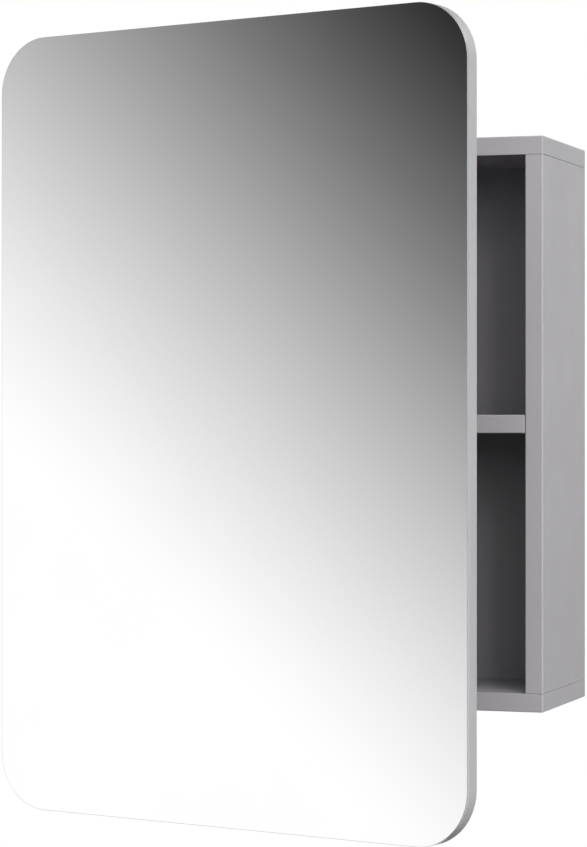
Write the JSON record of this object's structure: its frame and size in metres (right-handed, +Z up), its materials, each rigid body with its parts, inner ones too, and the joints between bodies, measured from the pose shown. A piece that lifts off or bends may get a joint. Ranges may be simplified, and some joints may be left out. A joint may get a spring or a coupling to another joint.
{
  "type": "medicine cabinet with mirror",
  "caption": "Wall-mounted medicine cabinet: square lacquered carcass with a middle shelf and a taller round-cornered mirror door on side hinges.",
  "frame": {"origin": "on the wall plane at the centre of the carcass, which is the centre of the four wall screw holes", "axes": "+X to the right seen from the front, +Y towards the wall, +Z up"},
  "size_m": [0.5051, 0.3122, 0.7],
  "materials": {
    "lacquered_board": "satin grey lacquer on 16 mm fibreboard",
    "back_board": "matt grey lacquer on 4 mm fibreboard",
    "rail_board": "matt grey lacquer on 16 mm fibreboard",
    "dowel_wood": "plain beech",
    "zinc_steel": "zinc plated",
    "cast_zinc": "die cast",
    "cap_plastic": "moulded",
    "hinge_steel": "satin nickel plated",
    "catch_plastic": "moulded",
    "ferrite": "sintered",
    "bumper_rubber": "soft translucent",
    "door_board": "satin grey lacquer on 12 mm fibreboard",
    "foam_tape": "foam",
    "silvered_glass": "polished, silvered on the back"
  },
  "bodies": {
    "cabinet": {"top_panel": "lacquered_board", "bottom_panel": "lacquered_board", "left_side_panel": "lacquered_board", "right_side_panel": "lacquered_board", "middle_shelf": "lacquered_board", "back_panel": "back_board", "upper_wall_rail": "rail_board", "lower_wall_rail": "rail_board", "rail_dowels": "dowel_wood", "panel_dowels": "dowel_wood", "cam_bolts": "zinc_steel", "cam_locks": "cast_zinc", "cam_cover_caps": "cap_plastic", "shelf_pins": "zinc_steel", "upper_hinge_carcass_leaf": "hinge_steel", "lower_hinge_carcass_leaf": "hinge_steel", "upper_hinge_pin": "hinge_steel", "lower_hinge_pin": "hinge_steel", "hinge_carcass_screws": "zinc_steel", "catch_housings": "catch_plastic", "catch_magnets": "ferrite", "catch_pole_plates": "zinc_steel", "catch_screws": "zinc_steel"},
    "door": {"upper_hinge_door_leaf": "hinge_steel", "lower_hinge_door_leaf": "hinge_steel", "hinge_door_screws": "zinc_steel", "strike_plates": "zinc_steel", "strike_screws": "zinc_steel", "door_bumpers": "bumper_rubber", "door_panel": "door_board", "mirror_tape": "foam_tape", "mirror_glass": "silvered_glass"}
  },
  "joints": [
    {"name": "door_swing", "type": "hinge", "parent": "cabinet", "child": "door", "pos_m": [-0.2526, -0.15715, 0], "axis": [0, 0, -1], "range_deg": [-16, 154]}
  ]
}
